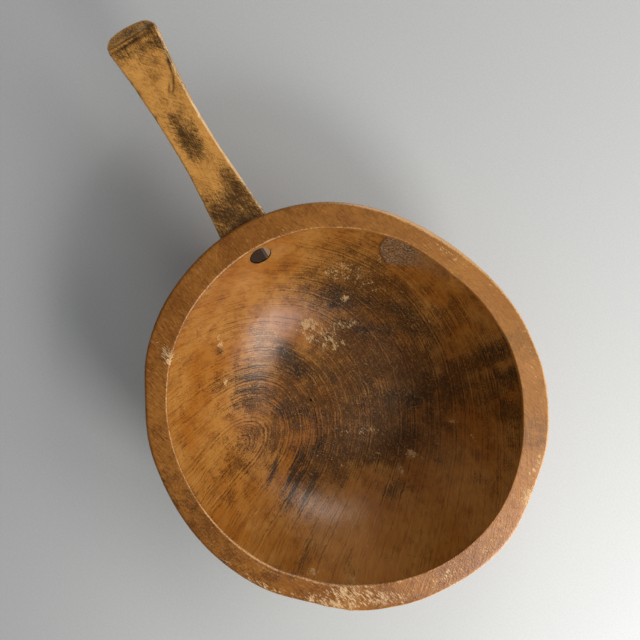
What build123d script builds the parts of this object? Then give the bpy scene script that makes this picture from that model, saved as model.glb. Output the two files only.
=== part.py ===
from build123d import *
from math import cos, radians, sin
import os

# A hand-carved round wooden bowl with a separate paddle handle, in millimetres.
# The origin is the centre of the foot, +Z is up, and the handle points along +X.
# The handle's round tenon goes through the wall just below the rim and ends flush
# with the inside of the bowl, where a small wedge spreads it.

# --- bowl -----------------------------------------------------------------
HEIGHT = 100.0
FLOOR_HEIGHT = 19.0         # thickness of the wood under the middle of the hollow
RIM_RADIUS = 153.0          # mean outer radius of the rim, before its edge is rounded
MOUTH_RADIUS = 134.2        # mean radius of the hollow at the rim
FOOT_SLOPE = 25.0           # the outer wall is an arc: its slope where it leaves the foot
RIM_SLOPE = 68.0            # and where it meets the rim
HOLLOW_POWER = 4.3          # flat floor and steep wall: depth follows radius to this power
RIM_ROUND = 3.0
MOUTH_BREAK = 0.8
FOOT_BREAK = 1.5

# The rim isn't a true circle. Each wave is (lobes, size, direction in degrees).
RIM_WAVES = [(1, 2.0, 50), (2, 5.4, 14), (3, 0.6, -7), (4, 0.7, -6), (5, 0.6, -29)]
MOUTH_WAVES = [(1, 1.9, 60), (2, 4.0, 15), (3, 0.6, -25), (5, 0.5, -24)]
OUTLINE_POINTS = 30
WALL_LEVELS = 7
HOLLOW_SHARES = [0.25, 0.42, 0.56, 0.67, 0.77, 0.86, 0.93, 1.0, 1.05]

# --- joint between bowl and handle ----------------------------------------
TENON_RADIUS = 8.4
TENON_HEIGHT = HEIGHT - 11.4
TENON_START = 110.0         # x inside the hollow, before the end is cut flush
TENON_LENGTH = 56.0         # from there into the handle's blank
GLUE_GAP = 0.05             # all round the tenon
SHOULDER_GAP = 0.3          # between the handle's shoulder and the outer wall
WEDGE_OFFSET = 3.4          # from the tenon's axis towards -Y
WEDGE_BUTT = (118.0, 2.6)   # (x, thickness) at the end inside the bowl
WEDGE_POINT = (152.0, 0.5)  # (x, thickness) at the end inside the wall

# --- handle -----------------------------------------------------------------
HANDLE_ROOT = 140.0         # the blank starts inside the wall and is scribed back to it
HANDLE_TIP = 335.0
HANDLE_WIDEST = 60.0        # more than the blank's width or thickness
BEVEL_START = 320.5
BEVEL_ANGLE = 26.0          # slope of the cut across the tip
CUT_PAST_TIP = 3.0
TIP_CORNER = 10.0
TOP_ROUND = 1.6
UNDER_ROUND = 3.0

# Long edges of the paddle seen from above, from root to tip.
LEFT_EDGE = [(HANDLE_ROOT, 19.8), (177, 17.3), (213, 16.2), (249, 17.2), (285, 19.2), (329, 23.7)]
RIGHT_EDGE = [(HANDLE_ROOT, -19.7), (177, -16.8), (213, -14.7), (249, -14.0), (285, -15.7), (330, -20.0)]

# The paddle's top and underside seen from the side: x, and depth below the rim.
TOP_LINE = [(HANDLE_ROOT, 2.2), (200, 2.8), (260, 1.2), (BEVEL_START, -0.8)]
UNDER_LINE = [(HANDLE_ROOT, 22.4), (200, 20.0), (260, 16.8), (HANDLE_TIP + CUT_PAST_TIP, 13.5)]


def waves(angle, lobes):
    """Sum of an outline's waves at an angle in degrees."""
    return sum(size * cos(radians(count * (angle - lean))) for count, size, lean in lobes)


def ring(radius):
    """Points of a closed outline whose radius depends on the angle."""
    angles = [360 * step / OUTLINE_POINTS for step in range(OUTLINE_POINTS)]
    return [(radius(a) * cos(radians(a)), radius(a) * sin(radians(a))) for a in angles]


def wall_level(slope, gap=0.0):
    """Height and outline of the outer wall where its arc has a slope, in degrees."""
    arc_radius = HEIGHT / (cos(radians(FOOT_SLOPE)) - cos(radians(RIM_SLOPE)))
    height = arc_radius * (cos(radians(FOOT_SLOPE)) - cos(radians(slope)))
    mean = RIM_RADIUS - arc_radius * (sin(radians(RIM_SLOPE)) - sin(radians(slope))) + gap
    # round at the foot, uneven at the rim
    return height, ring(lambda angle: mean + waves(angle, RIM_WAVES) * height / HEIGHT)


def hollow_level(share):
    """Height and outline of the hollow at a share of its radius at the rim."""
    height = FLOOR_HEIGHT + (HEIGHT - FLOOR_HEIGHT) * share ** HOLLOW_POWER
    return height, ring(lambda angle: share * (MOUTH_RADIUS + waves(angle, MOUTH_WAVES)))


def stacked(levels):
    """Solid through closed outlines, from the lowest up."""
    with BuildPart() as shape:
        for height, points in levels:
            with BuildSketch(Plane.XY.offset(height)):
                with BuildLine():
                    Spline(*points, periodic=True)
                make_face()
        loft()
    return shape.part


def below_rim(line):
    """Points in the XZ plane from (x, depth below the rim)."""
    return [(x, HEIGHT - depth) for x, depth in line]


slope_step = (RIM_SLOPE - FOOT_SLOPE) / WALL_LEVELS
wall_slopes = [FOOT_SLOPE + slope_step * level for level in range(WALL_LEVELS + 1)]
outer_form = stacked([wall_level(slope) for slope in wall_slopes])
shoulder_form = stacked([wall_level(slope, SHOULDER_GAP) for slope in wall_slopes])
hollow_form = stacked([hollow_level(share) for share in HOLLOW_SHARES])
tenon_plane = Plane.YZ.offset(TENON_START)

# The wedge seen from above, which is also the kerf in the tenon's end.
(butt_x, butt_thickness), (point_x, point_thickness) = WEDGE_BUTT, WEDGE_POINT
wedge_corners = [
    (butt_x, -WEDGE_OFFSET - butt_thickness / 2),
    (point_x, -WEDGE_OFFSET - point_thickness / 2),
    (point_x, -WEDGE_OFFSET + point_thickness / 2),
    (butt_x, -WEDGE_OFFSET + butt_thickness / 2),
]

# --- bowl -------------------------------------------------------------------
with BuildPart() as bowl_body:
    add(outer_form)
    add(hollow_form, mode=Mode.SUBTRACT)
    flats = bowl_body.faces().filter_by(GeomType.PLANE).sort_by(Axis.Z)
    foot_edges = flats[0].outer_wire().edges()
    mouth_edges = flats[-1].inner_wires()[0].edges()
    fillet(flats[-1].outer_wire().edges(), radius=RIM_ROUND)
    fillet(mouth_edges, radius=MOUTH_BREAK)
    fillet(foot_edges, radius=FOOT_BREAK)
    # round mortise through the wall
    with BuildSketch(tenon_plane):
        with Locations((0, TENON_HEIGHT)):
            Circle(TENON_RADIUS + GLUE_GAP)
    extrude(amount=TENON_LENGTH, mode=Mode.SUBTRACT)

bowl_body.part.label = "bowl_body"

# --- handle -------------------------------------------------------------------
with BuildPart() as handle:
    # the blank seen from above
    with BuildSketch(Plane.XY.offset(HEIGHT - HANDLE_WIDEST / 2)):
        with BuildLine():
            left = Spline(*LEFT_EDGE)
            right = Spline(*RIGHT_EDGE)
            ThreePointArc(left @ 1, (HANDLE_TIP, 1.0), right @ 1)
            Line(left @ 0, right @ 0)
        make_face()
        fillet(vertices().filter_by(lambda corner: corner.X > BEVEL_START), radius=TIP_CORNER)
    extrude(amount=HANDLE_WIDEST)
    # the same blank seen from the side, with the sloping cut across the tip
    with BuildSketch(Plane.XZ.offset(-HANDLE_WIDEST)):
        with BuildLine():
            top = Spline(*below_rim(TOP_LINE))
            under = Spline(*below_rim(UNDER_LINE))
            cut_length = (HANDLE_TIP + CUT_PAST_TIP - BEVEL_START) / cos(radians(BEVEL_ANGLE))
            cut = PolarLine(top @ 1, cut_length, -BEVEL_ANGLE)
            Line(cut @ 1, under @ 1)
            Line(top @ 0, under @ 0)
        make_face()
    extrude(amount=2 * HANDLE_WIDEST, mode=Mode.INTERSECT)
    # worn edges, sharper above than below
    outer_edges = handle.edges().filter_by(lambda edge: edge.center().X > HANDLE_ROOT + 1)
    level_edges = outer_edges - outer_edges.filter_by(Axis.Z)
    fillet(level_edges.filter_by(lambda edge: edge.center().Z > TENON_HEIGHT), radius=TOP_ROUND)
    under_edges = handle.edges().filter_by(lambda edge: edge.center().Z < TENON_HEIGHT)
    under_edges = under_edges.filter_by(lambda edge: edge.center().X > HANDLE_ROOT + 1)
    fillet(under_edges - under_edges.filter_by(Axis.Z), radius=UNDER_ROUND)
    # the shoulder is scribed to the outer wall
    add(shoulder_form, mode=Mode.SUBTRACT)
    # round tenon, cut off along the inside of the bowl, with the kerf for the wedge
    with BuildSketch(tenon_plane):
        with Locations((0, TENON_HEIGHT)):
            Circle(TENON_RADIUS)
    extrude(amount=TENON_LENGTH)
    add(hollow_form, mode=Mode.SUBTRACT)
    with BuildSketch(Plane.XY.offset(TENON_HEIGHT)):
        with BuildLine():
            Polyline(*wedge_corners, close=True)
        make_face()
    extrude(amount=2 * TENON_RADIUS, both=True, mode=Mode.SUBTRACT)

handle.part.label = "handle"

# --- wedge --------------------------------------------------------------------
with BuildPart() as tenon_wedge:
    with BuildSketch(Plane.XY.offset(TENON_HEIGHT)):
        with BuildLine():
            Polyline(*wedge_corners, close=True)
        make_face()
    extrude(amount=2 * TENON_RADIUS, both=True)
    with BuildSketch(tenon_plane):
        with Locations((0, TENON_HEIGHT)):
            Circle(TENON_RADIUS)
    extrude(amount=TENON_LENGTH, mode=Mode.INTERSECT)
    add(hollow_form, mode=Mode.SUBTRACT)

tenon_wedge.part.label = "tenon_wedge"

os.makedirs("parts", exist_ok=True)
export_step(bowl_body.part, "parts/bowl_body.step")
export_step(handle.part, "parts/handle.step")
export_step(tenon_wedge.part, "parts/tenon_wedge.step")
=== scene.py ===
import math

import bpy
import numpy as np
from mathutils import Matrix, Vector, kdtree, noise


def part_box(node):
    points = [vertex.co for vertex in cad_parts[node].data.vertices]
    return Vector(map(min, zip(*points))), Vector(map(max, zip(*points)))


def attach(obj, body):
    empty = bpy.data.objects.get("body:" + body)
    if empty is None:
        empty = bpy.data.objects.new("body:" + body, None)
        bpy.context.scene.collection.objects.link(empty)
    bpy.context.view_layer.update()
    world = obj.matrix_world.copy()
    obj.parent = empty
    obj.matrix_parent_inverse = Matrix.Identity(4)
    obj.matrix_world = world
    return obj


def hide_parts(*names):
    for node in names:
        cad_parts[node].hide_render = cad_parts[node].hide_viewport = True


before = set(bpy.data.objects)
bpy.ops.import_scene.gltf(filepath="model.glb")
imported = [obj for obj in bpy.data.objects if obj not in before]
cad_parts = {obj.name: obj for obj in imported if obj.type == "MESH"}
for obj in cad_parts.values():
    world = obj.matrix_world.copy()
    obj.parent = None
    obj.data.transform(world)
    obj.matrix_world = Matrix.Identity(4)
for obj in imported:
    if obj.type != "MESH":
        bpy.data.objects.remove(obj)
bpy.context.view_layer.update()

# A hand-carved wooden bowl with a separate paddle handle. Lengths are in millimetres
# until a mesh is made: MM turns them into the scene's metres.
MM = 0.001

bowl_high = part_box("bowl_body")[1]
handle_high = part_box("handle")[1]

# --- the bowl's shape, as the CAD model has it ------------------------------
HEIGHT = bowl_high.z / MM
FLOOR_HEIGHT = 19.0
RIM_RADIUS = 153.0
MOUTH_RADIUS = 134.2
FOOT_SLOPE = math.radians(25)
RIM_SLOPE = math.radians(68)
HOLLOW_POWER = 4.3
# The rim isn't a true circle. Each wave is (lobes, size, direction in degrees).
RIM_WAVES = [(1, 2.0, 50), (2, 5.4, 14), (3, 0.6, -7), (4, 0.7, -6), (5, 0.6, -29)]
MOUTH_WAVES = [(1, 1.9, 60), (2, 4.0, 15), (3, 0.6, -25), (5, 0.5, -24)]
ARC_RADIUS = HEIGHT / (math.cos(FOOT_SLOPE) - math.cos(RIM_SLOPE))
TENON_RADIUS = 8.4
TENON_HEIGHT = HEIGHT - 11.4
TENON_END = 172.0           # x inside the handle
TENON_SUNK = 0.45           # how far its other end lies below the hollow's wall,
TENON_EDGE_SUNK = 0.75      # and how far that end's worn edge does
MORTISE_START = 108.0       # x inside the hollow
MORTISE_GAP = 0.35

# Flats and bulges that the knife left in the rim: (direction, spread in degrees, size).
RIM_DENTS = [
    (45, 7, 0.8), (57, 7, -1.1), (72, 6, 0.6), (138, 8, -0.9), (153, 8, 1.3), (180, 9, -1.3),
    (200, 7, 1.0), (217, 8, -0.8), (260, 6, -0.6), (340, 8, 0.2), (115, 24, 0.9), (-40, 20, 0.4),
    (33, 9, 0.9), (126, 8, 0.5), (-129, 7, 0.7),
]
RIM_SPREAD = 0.7            # the worn rim bulges this much
MOUTH_DENTS = [
    (53, 6, -0.5), (135, 5, -0.7), (205, 10, 0.5), (237, 8, -0.8), (262, 6, 0.5), (293, 7, -1.0),
    (311, 5, 0.8), (332, 5, -0.5),
]


def waves(angle, lobes):
    """Sum of an outline's waves at an angle."""
    return sum(size * np.cos(count * (angle - math.radians(lean))) for count, size, lean in lobes)


def bumps(angle, dents):
    """Sum of soft bumps (direction, spread in degrees, size) at an angle."""
    total = np.zeros_like(angle)
    for direction, spread, size in dents:
        away = np.degrees(np.angle(np.exp(1j * (angle - math.radians(direction)))))
        total += size * np.exp(-(away / spread) ** 2)
    return total


def mouth_radius(angle):
    return MOUTH_RADIUS + waves(angle, MOUTH_WAVES) + bumps(angle, MOUTH_DENTS)


def hollow_height(share):
    return FLOOR_HEIGHT + (HEIGHT - FLOOR_HEIGHT) * share ** HOLLOW_POWER


def hollow_radius(angle, height):
    share = np.clip((height - FLOOR_HEIGHT) / (HEIGHT - FLOOR_HEIGHT), 1e-6, None)
    return (MOUTH_RADIUS + waves(angle, MOUTH_WAVES)) * share ** (1 / HOLLOW_POWER)


def wall_radius(angle, height):
    slope = np.arccos(np.clip(math.cos(FOOT_SLOPE) - height / ARC_RADIUS, -1, 1))
    mean = RIM_RADIUS - ARC_RADIUS * (math.sin(RIM_SLOPE) - np.sin(slope))
    return mean + (waves(angle, RIM_WAVES) + bumps(angle, RIM_DENTS) + RIM_SPREAD) * height / HEIGHT


def smooth_step(value, low, high):
    t = np.clip((value - low) / (high - low), 0, 1)
    return t * t * (3 - 2 * t)


def wobble(points, size, seed):
    """Smooth noise from -1 to 1 with lumps about this many millimetres across."""
    offset = Vector((seed * 7.31, seed * 3.17, seed * 5.77))
    return np.array([noise.noise(Vector(p) / size + offset) for p in points])


def new_mesh(name, points, faces):
    mesh = bpy.data.meshes.new(name)
    mesh.from_pydata([tuple(p) for p in np.asarray(points) * MM], [], faces)
    mesh.validate()
    mesh.update()
    return mesh


def new_object(name, data):
    made = bpy.data.objects.new(name, data)
    bpy.context.collection.objects.link(made)
    return made


def vertex_values(mesh, name):
    flat = np.empty(len(mesh.vertices) * 3)
    mesh.vertices.foreach_get(name, flat)
    return flat.reshape(-1, 3)


def points_of(mesh):
    return vertex_values(mesh, "co") / MM


def normals_of(mesh):
    return vertex_values(mesh, "normal")


def move_points(mesh, points):
    mesh.vertices.foreach_set("co", (points * MM).ravel())
    mesh.update()


def paint(mesh, name, values):
    layer = mesh.attributes.new(name, "FLOAT", "POINT")
    layer.data.foreach_set("value", np.clip(values, 0, 1).astype(np.float32))


def smooth_shading(mesh, angle):
    mesh.polygons.foreach_set("use_smooth", [True] * len(mesh.polygons))
    mesh.set_sharp_from_angle(angle=math.radians(angle))


def cut_or_join(piece, other, operation):
    """Boolean of two objects, with the result as the first one's mesh."""
    step = piece.modifiers.new("boolean", "BOOLEAN")
    step.operation = operation
    step.solver = "EXACT"
    step.object = other
    graph = bpy.context.evaluated_depsgraph_get()
    result = bpy.data.meshes.new_from_object(piece.evaluated_get(graph))
    piece.modifiers.clear()
    old = piece.data
    piece.data = result
    bpy.data.meshes.remove(old)
    bpy.data.objects.remove(other)


# --- bowl -------------------------------------------------------------------
FULL_TURN = 640             # points round the rim; halved step by step towards the middles
FULL_FROM = 60.0            # rings at least this big have them all, and half as big, half
FEWEST = 20
WALL_FULL_FROM = 84.0       # on the outer wall, which has wider faces, the same for this size
RIM_ROUND = 3.0             # the CAD model's rounding of the rim's edge


def ring_faces(lower, lower_count, upper, upper_count):
    """Faces between two closed rings of points, of equal counts or one twice the other."""
    if lower_count == upper_count:
        for i in range(lower_count):
            j = (i + 1) % lower_count
            yield (lower + i, lower + j, upper + j, upper + i)
    elif upper_count == 2 * lower_count:
        for i in range(lower_count):
            j = (i + 1) % lower_count
            left, middle, right = 2 * i, 2 * i + 1, (2 * i + 2) % upper_count
            yield (lower + i, upper + middle, upper + left)
            yield (lower + i, lower + j, upper + middle)
            yield (lower + j, upper + right, upper + middle)
    else:
        for face in ring_faces(upper, upper_count, lower, lower_count):
            yield face[::-1]


def ring_count(radius):
    """How many points a ring this big gets, so that they stay about evenly spaced."""
    count = FULL_TURN
    while count > FEWEST and radius < FULL_FROM * count / FULL_TURN:
        count //= 2
    return count


def bowl_rings():
    """The bowl's skin as rings from the middle of the floor, over the rim, to the foot's."""
    rings = []

    def add(size, profile):
        count = ring_count(size)
        angle = np.arange(count) * 2 * math.pi / count
        radius, height = profile(angle)
        radius, height = radius + 0 * angle, height + 0 * angle
        rings.append(np.stack([radius * np.cos(angle), radius * np.sin(angle), height], 1))

    # radius of the worn corner between hollow and rim, which is wider along one stretch
    def mouth_wear(angle):
        return 0.8 + bumps(angle, [(112, 14, 1.2), (150, 16, 0.9), (60, 25, 0.3), (20, 15, 0.3)])

    def rim_wear(angle):
        return 2.6 + bumps(angle, [(215, 8, 0.8), (150, 22, 0.6), (60, 30, 0.4), (250, 30, -0.4)])

    rim_turn = math.pi - RIM_SLOPE

    def mouth_corner(angle):
        slope = math.atan(HOLLOW_POWER * (HEIGHT - FLOOR_HEIGHT) / MOUTH_RADIUS)
        reach = mouth_wear(angle) * math.tan(slope / 2)
        return slope, reach

    def hollow(share):
        def profile(angle):
            slope, reach = mouth_corner(angle)
            start = mouth_radius(angle)
            # the last of the wall stops where the worn corner begins
            top = HEIGHT - reach * math.sin(slope)
            height = FLOOR_HEIGHT + (top - FLOOR_HEIGHT) * share ** HOLLOW_POWER
            true_share = ((height - FLOOR_HEIGHT) / (HEIGHT - FLOOR_HEIGHT)) ** (1 / HOLLOW_POWER)
            mean = MOUTH_RADIUS + waves(angle, MOUTH_WAVES)
            blend = share ** 6
            return true_share * (mean + (start - mean) * blend), height
        return profile

    for size in [2, 4, 6.5, 9.5, 13, 17, 21.5, 26.5, 32, 38, 44, 50, 56]:
        add(size, hollow(size / MOUTH_RADIUS))
    fine = np.linspace(FULL_FROM / MOUTH_RADIUS, 1, 2000)
    run = np.hypot(np.diff(fine * MOUTH_RADIUS), np.diff(hollow_height(fine)))
    travelled = np.concatenate([[0], np.cumsum(run)])
    for distance in np.linspace(0, travelled[-1], 56):
        add(FULL_FROM, hollow(np.interp(distance, travelled, fine)))

    for step in (0.25, 0.5, 0.75, 1.0):
        def profile(angle, step=step):
            slope, reach = mouth_corner(angle)
            turn = slope * (1 - step)
            wear = mouth_wear(angle)
            centre = mouth_radius(angle) + reach
            return centre - wear * np.sin(turn), HEIGHT - wear + wear * np.cos(turn)
        add(FULL_FROM, profile)

    def rim_corner(angle, turn):
        wear = rim_wear(angle)
        # the outline seen from above stays where it is, however wide the worn edge: 0.48 is
        # the tangent of half the turn, less 1
        centre = RIM_RADIUS + waves(angle, RIM_WAVES) + bumps(angle, RIM_DENTS)
        centre = centre + 0.48 * (wear - RIM_ROUND) + 0.4 + RIM_SPREAD - wear * math.tan(rim_turn / 2)
        return centre + wear * np.sin(turn), HEIGHT - wear + wear * np.cos(turn)

    for step in np.linspace(0, 1, 13)[1:-1]:
        def profile(angle, step=step):
            inner = mouth_radius(angle) + mouth_corner(angle)[1]
            outer = rim_corner(angle, 0)[0]
            return inner + (outer - inner) * step, HEIGHT
        add(FULL_FROM, profile)
    for step in np.linspace(0, 1, 9):
        add(FULL_FROM, lambda angle, step=step: rim_corner(angle, rim_turn * step))

    def wall(share):
        def profile(angle):
            start = rim_corner(angle, rim_turn)[1]
            height = start * share
            return wall_radius(angle, height), height
        return profile

    for slope in np.linspace(RIM_SLOPE, FOOT_SLOPE, 54)[1:-1]:
        share = (math.cos(FOOT_SLOPE) - math.cos(slope)) * ARC_RADIUS / HEIGHT
        size = RIM_RADIUS - ARC_RADIUS * (math.sin(RIM_SLOPE) - math.sin(slope))
        add(FULL_FROM if size > WALL_FULL_FROM else FULL_FROM / 2, wall(share))
    foot = RIM_RADIUS - ARC_RADIUS * (math.sin(RIM_SLOPE) - math.sin(FOOT_SLOPE))
    # the foot's edge is worn round
    add(FULL_FROM / 2, lambda angle: (foot + 0.9, 0.42))
    add(FULL_FROM / 2, lambda angle: (foot + 0.1, 0.1))
    for size in [foot - 1.2, 52, 47, 41, 35, 29, 24, 19, 15, 11.5, 8.5, 6, 4, 2]:
        add(min(size, FULL_FROM / 2), lambda angle, size=size: (size, 0.0))
    return rings


def bowl_skin():
    rings = bowl_rings()
    points = np.concatenate([[[0, 0, FLOOR_HEIGHT]]] + rings + [[[0, 0, 0]]])
    starts = np.cumsum([1] + [len(ring) for ring in rings])
    first, last = len(rings[0]), len(rings[-1])
    faces = [(0, 1 + i, 1 + (i + 1) % first) for i in range(first)]
    for k in range(len(rings) - 1):
        faces += ring_faces(starts[k], len(rings[k]), starts[k + 1], len(rings[k + 1]))
    foot = starts[-2]
    faces += [(foot + i, len(points) - 1, foot + (i + 1) % last) for i in range(last)]
    return new_mesh("bowl", points, faces)


def slab(lengthwise, across, levels, place):
    """Closed block: a grid above, a grid below, and closed rings of points between them.

    place(s, v, t) gives points for s from 0 to 1 along it, v from -1 to 1 across it, and
    t from 0 above to 1 below.
    """
    s, v = np.meshgrid(lengthwise, across, indexing="ij")
    n, m = s.shape
    index = np.arange(n * m).reshape(n, m)
    loop = np.concatenate([index[:-1, 0], index[-1, :-1], index[:0:-1, -1], index[0, :0:-1]])
    corners = (index[:-1, :-1], index[1:, :-1], index[1:, 1:], index[:-1, 1:])
    upper = list(zip(*(corner.flat for corner in corners)))
    points, faces, last = [place(s.ravel(), v.ravel(), 0)], list(upper), loop
    count = n * m
    for level in levels:
        points.append(place(s.ravel()[loop], v.ravel()[loop], level))
        ring = count + np.arange(len(loop))
        faces += list(zip(ring, np.roll(ring, -1), np.roll(last, -1), last))
        count, last = count + len(loop), ring
    points.append(place(s.ravel(), v.ravel(), 1))
    ring = count + loop
    faces += list(zip(ring, np.roll(ring, -1), np.roll(last, -1), last))
    faces += [(count + d, count + c, count + b, count + a) for a, b, c, d in upper]
    return np.concatenate(points), [tuple(int(k) for k in face) for face in faces]


def bar(rings, first, last):
    """Closed bar through rings of points of one size, from the first end's middle to the last's."""
    count = len(rings[0])
    points = np.concatenate([[first]] + rings + [[last]])
    faces = [(0, 1 + (i + 1) % count, 1 + i) for i in range(count)]
    for k in range(len(rings) - 1):
        faces += ring_faces(1 + (k + 1) * count, count, 1 + k * count, count)
    start = 1 + (len(rings) - 1) * count
    faces += [(start + i, start + (i + 1) % count, len(points) - 1) for i in range(count)]
    return points, faces


def mortise_cutter():
    """Slightly uneven round bar along X that cuts the tenon's hole."""
    turn = np.arange(96) * 2 * math.pi / 96
    size = TENON_RADIUS + MORTISE_GAP + 0.05 * (np.sin(3 * turn + 1) + np.sin(5 * turn))
    circle = np.stack([0 * turn, size * np.cos(turn), TENON_HEIGHT + size * np.sin(turn)], 1)
    rings = [circle + [x, 0, 0] for x in np.linspace(MORTISE_START, TENON_END, 9)]
    return bar(rings, [MORTISE_START, 0, TENON_HEIGHT], [TENON_END, 0, TENON_HEIGHT])


def worm_cutter():
    """Thin bar that leans as it goes down into the floor."""
    turn = np.arange(20) * math.pi / 10
    oval = np.stack([5 + 1.15 * np.cos(turn), 28 + 0.95 * np.sin(turn), 0 * turn], 1)
    rings = [oval + [0.25 * z, 0, z] for z in (24, 20, 17, 14)]
    return bar(rings, [11, 28, 24], [9, 28, 13.6])


def curve(line, x):
    """Smooth line through (x, value) points."""
    xs, ys = np.array(line, float).T
    slopes = np.gradient(ys, xs)
    i = np.clip(np.searchsorted(xs, x) - 1, 0, len(xs) - 2)
    width = xs[i + 1] - xs[i]
    t = (x - xs[i]) / width
    start = (1 + 2 * t) * (1 - t) ** 2 * ys[i] + t * (1 - t) ** 2 * width * slopes[i]
    end = t * t * (3 - 2 * t) * ys[i + 1] + t * t * (t - 1) * width * slopes[i + 1]
    return start + end


# --- bowl: what the tools and use have done to its surface -------------------
# Carved facets on the outer wall, as rows of strokes with the gouge.
FACET_ROWS = 7
FACET_SIZE = 24.0
FACET_DEPTH = 0.75


def facet_depth(points):
    random = np.random.default_rng(5)
    seeds = []
    for row in range(FACET_ROWS):
        height = HEIGHT * (row + 0.5) / FACET_ROWS
        around = 2 * math.pi * float(wall_radius(np.array(0.0), height))
        count = round(around / FACET_SIZE)
        for k in range(count):
            angle = 2 * math.pi * (k + 0.5 * (row % 2) + random.uniform(-0.2, 0.2)) / count
            level = height + random.uniform(-3, 3)
            radius = float(wall_radius(np.array(angle), level))
            seeds.append((radius * math.cos(angle), radius * math.sin(angle), level))
    tree = kdtree.KDTree(len(seeds))
    for i, seed in enumerate(seeds):
        tree.insert(seed, i)
    tree.balance()
    away = np.array([tree.find(p)[2] for p in points])
    return FACET_DEPTH * (1 - (away / (0.62 * FACET_SIZE)) ** 2).clip(-0.4, 1)


def part_of_bowl(points):
    """For each point: direction, radius, and shares from 0 to 1 of hollow, rim and outer wall."""
    angle = np.arctan2(points[:, 1], points[:, 0])
    radius = np.hypot(points[:, 0], points[:, 1])
    height = points[:, 2]
    middle = 0.5 * (hollow_radius(angle, height) + wall_radius(angle, height))
    inside = (radius < middle) & (height > FLOOR_HEIGHT - 4)
    rim = smooth_step(height, HEIGHT - 1.5, HEIGHT - 0.4)
    return angle, radius, inside * (1 - rim), rim, ~inside * (1 - rim)


# Small losses: (x, y, z, size, depth). Chips at the hollow's edge, a split-off flake on the
# rim's outer edge, and dents in the rim and walls.
DENTS = [
    (103, 97, 100, 3.4, 0.7), (99, 100, 100, 3.0, 0.7), (105, 91, 100, 2.4, 0.5),
    (113, 78, 100, 2.2, 0.3), (-130, -90, 98, 3.6, 0.7), (-122, -101, 98, 3.0, 0.6),
    (-140, 52, 99, 3.0, 0.5), (-132, 74, 100, 2.5, 0.5), (-120, 88, 100, 3.0, 0.5),
    (-109, 98, 100, 2.2, 0.4), (-92, 113, 100, 2.5, 0.4), (60, 147, 98, 2.4, 0.5),
    (-60, -137, 99, 2.6, 0.5), (128, -77, 98, 2.2, 0.5), (20, 152, 98, 2.6, 0.6),
    (-20, 143, 99, 1.8, 0.5),
]

# A knot in the hollow's wall: its middle and radius.
KNOT = np.array([72.0, -104.0, 88.0])
KNOT_SIZE = 30.0


def weather_bowl(mesh):
    points, normals = points_of(mesh), normals_of(mesh)
    angle, radius, inside, rim, outside = part_of_bowl(points)
    shift = np.zeros(len(points))
    low = smooth_step(points[:, 2], 2.0, 9.0) * (1 - smooth_step(points[:, 2], HEIGHT - 8, HEIGHT - 3.5))
    shift -= facet_depth(points) * outside * low
    shift += 0.3 * wobble(points, 26, 1) * inside * smooth_step(radius, 10, 40)
    shift += 0.10 * wobble(points, 6, 2) * inside
    shift += (0.16 * wobble(points, 17, 3) + 0.05 * wobble(points, 3.2, 4)) * rim
    shift += 0.14 * wobble(points, 9, 5) * outside * low
    # rough worn stretch of the rim, opposite the handle
    rough = bumps(angle, [(150, 17, 1.0)]) * rim
    shift -= rough * 0.30 * smooth_step(wobble(points, 2.6, 6), 0.0, 0.45)
    for x, y, z, size, depth in DENTS:
        away = np.linalg.norm(points - [x, y, z], axis=1) / size
        away = away * (1 + 0.25 * wobble(points, 2.2, 7))
        shift -= depth * np.exp(-away ** 4)
    # the knot stands a little proud of the wall that shrank round it
    away = np.linalg.norm(points - KNOT, axis=1)
    shift -= 0.22 * np.exp(-((away - KNOT_SIZE) / 0.9) ** 2) * inside
    shift += 0.12 * smooth_step(-away, -KNOT_SIZE, -KNOT_SIZE + 2) * inside
    moved = points + normals * shift[:, None]
    moved[:, 2] = np.where(outside * (points[:, 2] < 1.0) > 0, points[:, 2], moved[:, 2])
    move_points(mesh, moved)


# Smoke-darkened patina on the hollow, partly painted shade: on the wall under the rim where it lies in
# shadow, and in the middle of the floor. Soft marks seen from above: (x, y, half length, half width,
# direction, strength).
SMOKE_AND_SHADE = [
    (82, -42, 36, 19, -125, 0.8), (40, -74, 36, 20, -150, 0.85), (38, -32, 28, 17, -135, 0.8),
    (50, 27, 25, 15, -150, 0.85), (54, 66, 22, 15, -120, 0.55), (66, 92, 16, 8, -100, 0.3),
    (0, 20, 34, 27, -140, 0.65), (-27, -38, 34, 30, -100, 0.85), (-58, -10, 32, 20, -100, 0.75),
    (-42, 28, 28, 20, -70, 0.65), (-48, 66, 26, 17, -60, 0.65), (-78, -50, 22, 18, -60, 0.5),
    (-27, -115, 26, 15, -80, 0.75), (-44, -88, 18, 14, -80, 0.6), (18, -112, 20, 10, -60, 0.4),
    (-62, -108, 14, 22, -75, 0.55), (-88, 92, 16, 6, -70, 0.4), (66, -78, 26, 12, -140, 0.5),
    (-14, -50, 72, 56, -120, 0.42), (46, -34, 32, 24, -125, 0.45), (20, 20, 36, 30, -130, 0.3),
    (7, -31, 26, 18, -120, 0.6), (-22, -55, 24, 20, -100, 0.6), (20, 43, 20, 16, -150, 0.6),
    (32, 72, 16, 14, -120, 0.45), (-40, 48, 20, 18, -60, 0.5), (84, 36, 20, 12, -120, 0.3),
    (-84, 66, 22, 12, -60, 0.35), (84, -66, 22, 12, -130, 0.45), (2, 82, 34, 26, -60, 0.42),
    (0, 108, 26, 20, -60, 0.25), (12, -49, 28, 20, -140, 0.5), (20, -8, 18, 14, -120, 0.5),
    (-6, -54, 24, 20, -120, 0.45), (1, 64, 18, 16, -60, 0.35), (-94, -86, 26, 8, -47, 0.35),
    (106, -58, 36, 8, -110, 0.4), (-36, -2, 22, 18, -120, 0.4),
]
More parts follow.
